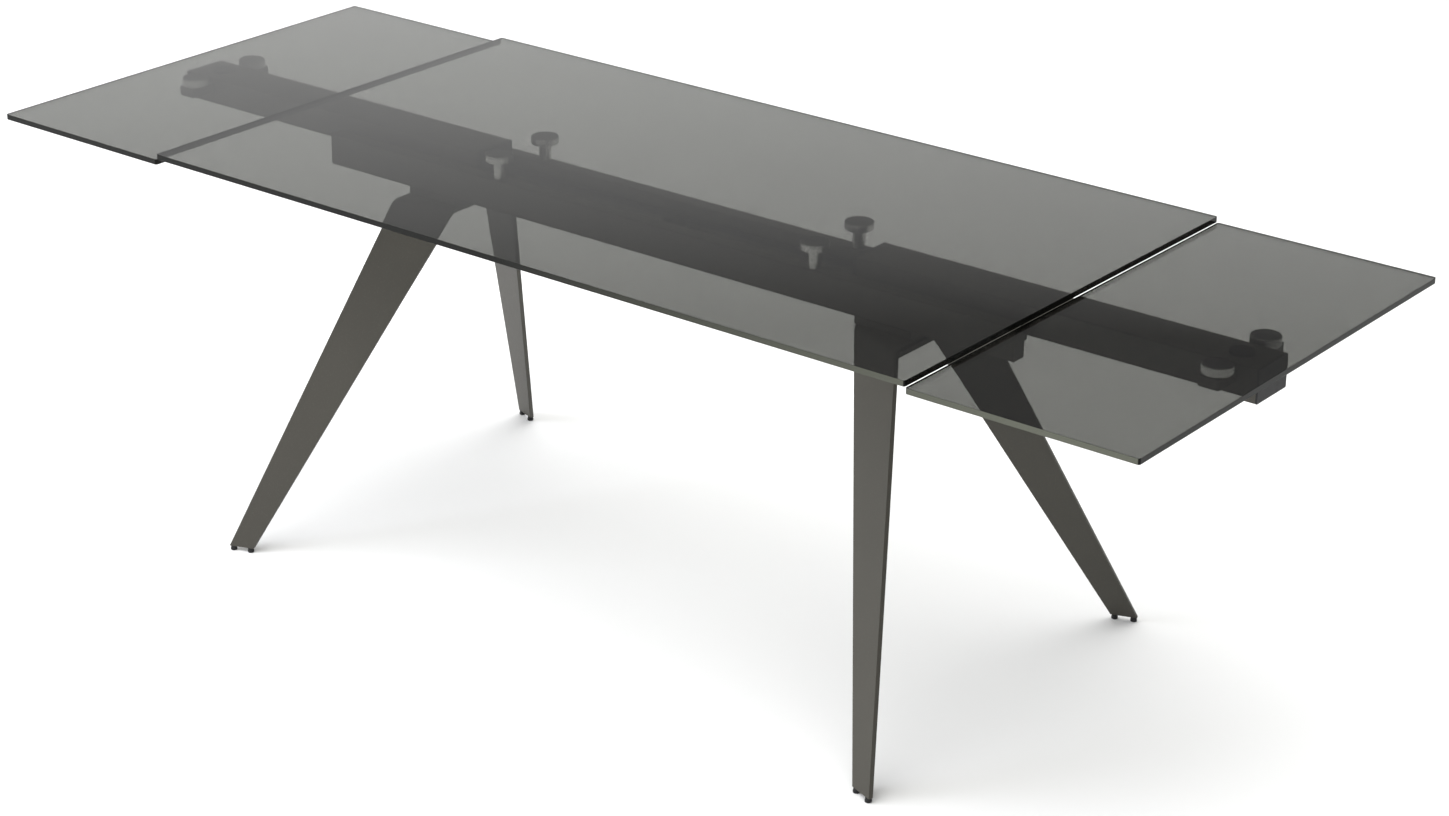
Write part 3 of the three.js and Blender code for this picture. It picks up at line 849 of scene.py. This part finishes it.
studio = {
    "floorMm": 60000,
    "floorShade": "#F4F4F3",
    "rollerMm": 4,
    "rollerDepthMm": 0.2,
    # brightness of the wall by the sine of the angle above the floor: a dark band keeps the glass dark
    "wall": ((0.28, 1.0), (0.375, 0.15), (0.46, 0.15), (0.62, 0.95)),
    "rightSide": 0.35,            # share of the wall's light that is left towards +X
    "rightFromTo": (0.15, 0.75),
    "ceiling": {"place": (-0.6, -0.4, 4.2), "aim": (0, 0, 0.4), "size": 7.0, "watts": 310,
                "tone": "#FFFFFF", "mirrored": True},
    "window": {"place": (-3.4, -3.0, 2.6), "aim": (-0.2, 0, 0.5), "size": 2.4, "watts": 105,
               "tone": "#F2F5FF", "mirrored": False},    # lights the legs, kept out of reflections
}


def makePaleFloor():
    # painted studio floor: matt, with a trace of roller texture
    material, tree = newMaterial("matt white studio paint")
    roller = noiseAt(tree, coordinate(tree), studio["rollerMm"], 2.0)
    shader = addNode(tree, "ShaderNodeBsdfPrincipled",
                     {"Base Color": srgbToLinear(studio["floorShade"]), "Roughness": 0.9,
                      "Specular IOR Level": 0.1,
                      "Normal": bumpFrom(tree, roller, 0.05, studio["rollerDepthMm"])})
    putOut(tree, shader)
    half = studio["floorMm"] * mm / 2
    mesh = bpy.data.meshes.new("studioFloor")
    corners = [(-half, -half, 0), (half, -half, 0), (half, half, 0), (-half, half, 0)]
    mesh.from_pydata(corners, [], [(0, 1, 2, 3)])
    mesh.materials.append(material)
    floor = bpy.data.objects.new("studioFloor", mesh)
    scene.collection.objects.link(floor)


def makeWall():
    # bright at the horizon and overhead with a dark band between, and darker towards the right
    world = bpy.data.worlds.new("studioWall")
    world.use_nodes = True
    tree = world.node_tree
    tree.nodes.clear()
    split = addNode(tree, "ShaderNodeSeparateXYZ", {0: coordinate(tree, "Generated")})
    rise = addNode(tree, "ShaderNodeValToRGB", {0: split.outputs["Z"]})
    stops = rise.color_ramp.elements
    for _ in studio["wall"][2:]:
        stops.new(1.0)
    for stop, (height, brightness) in zip(stops, studio["wall"]):
        stop.position = height
        stop.color = (brightness, brightness, brightness, 1.0)
    aside = spread(tree, split.outputs["X"], (1.0, studio["rightSide"]), studio["rightFromTo"])
    strength = product(tree, rise.outputs[0], aside)
    wall = addNode(tree, "ShaderNodeBackground", {"Color": (1.0, 1.0, 1.0, 1.0), "Strength": strength})
    addNode(tree, "ShaderNodeOutputWorld", {0: wall.outputs[0]})
    scene.world = world


def addSoftbox(name, values):
    lamp = bpy.data.lights.new(name, "AREA")
    lamp.shape = "SQUARE"
    lamp.size = values["size"]
    lamp.energy = values["watts"]
    lamp.color = srgbToLinear(values["tone"])[:3]
    box = bpy.data.objects.new(name, lamp)
    place = Vector(values["place"])
    turn = (Vector(values["aim"]) - place).to_track_quat("-Z", "Y")
    box.matrix_world = Matrix.Translation(place) @ turn.to_matrix().to_4x4()
    box.visible_glossy = values["mirrored"]
    box.visible_transmission = values["mirrored"]
    scene.collection.objects.link(box)


makePaleFloor()
makeWall()
addSoftbox("ceilingBox", studio["ceiling"])
addSoftbox("windowBox", studio["window"])

shot = {"place": (3.21749, -3.95014, 2.57013), "azimuth": 38.17111, "elevation": 23.57923, "roll": 0.37065,
        "lensMm": 78.5997, "sensorMm": 36.0}
azimuth, elevation, roll = (math.radians(shot[key]) for key in ("azimuth", "elevation", "roll"))
back = Vector((math.sin(azimuth) * math.cos(elevation), -math.cos(azimuth) * math.cos(elevation),
               math.sin(elevation)))
level = Vector((0, 0, 1)).cross(back).normalized()
upright = back.cross(level)
right = level * math.cos(roll) + upright * math.sin(roll)
up = upright * math.cos(roll) - level * math.sin(roll)
lens = bpy.data.cameras.new("studioCamera")
lens.lens = shot["lensMm"]
lens.sensor_width = shot["sensorMm"]
lens.clip_end = 100
camera = bpy.data.objects.new("studioCamera", lens)
camera.matrix_world = Matrix.Translation(shot["place"]) @ Matrix((right, up, back)).transposed().to_4x4()
scene.collection.objects.link(camera)
scene.camera = camera
print("floor, lights and camera set")
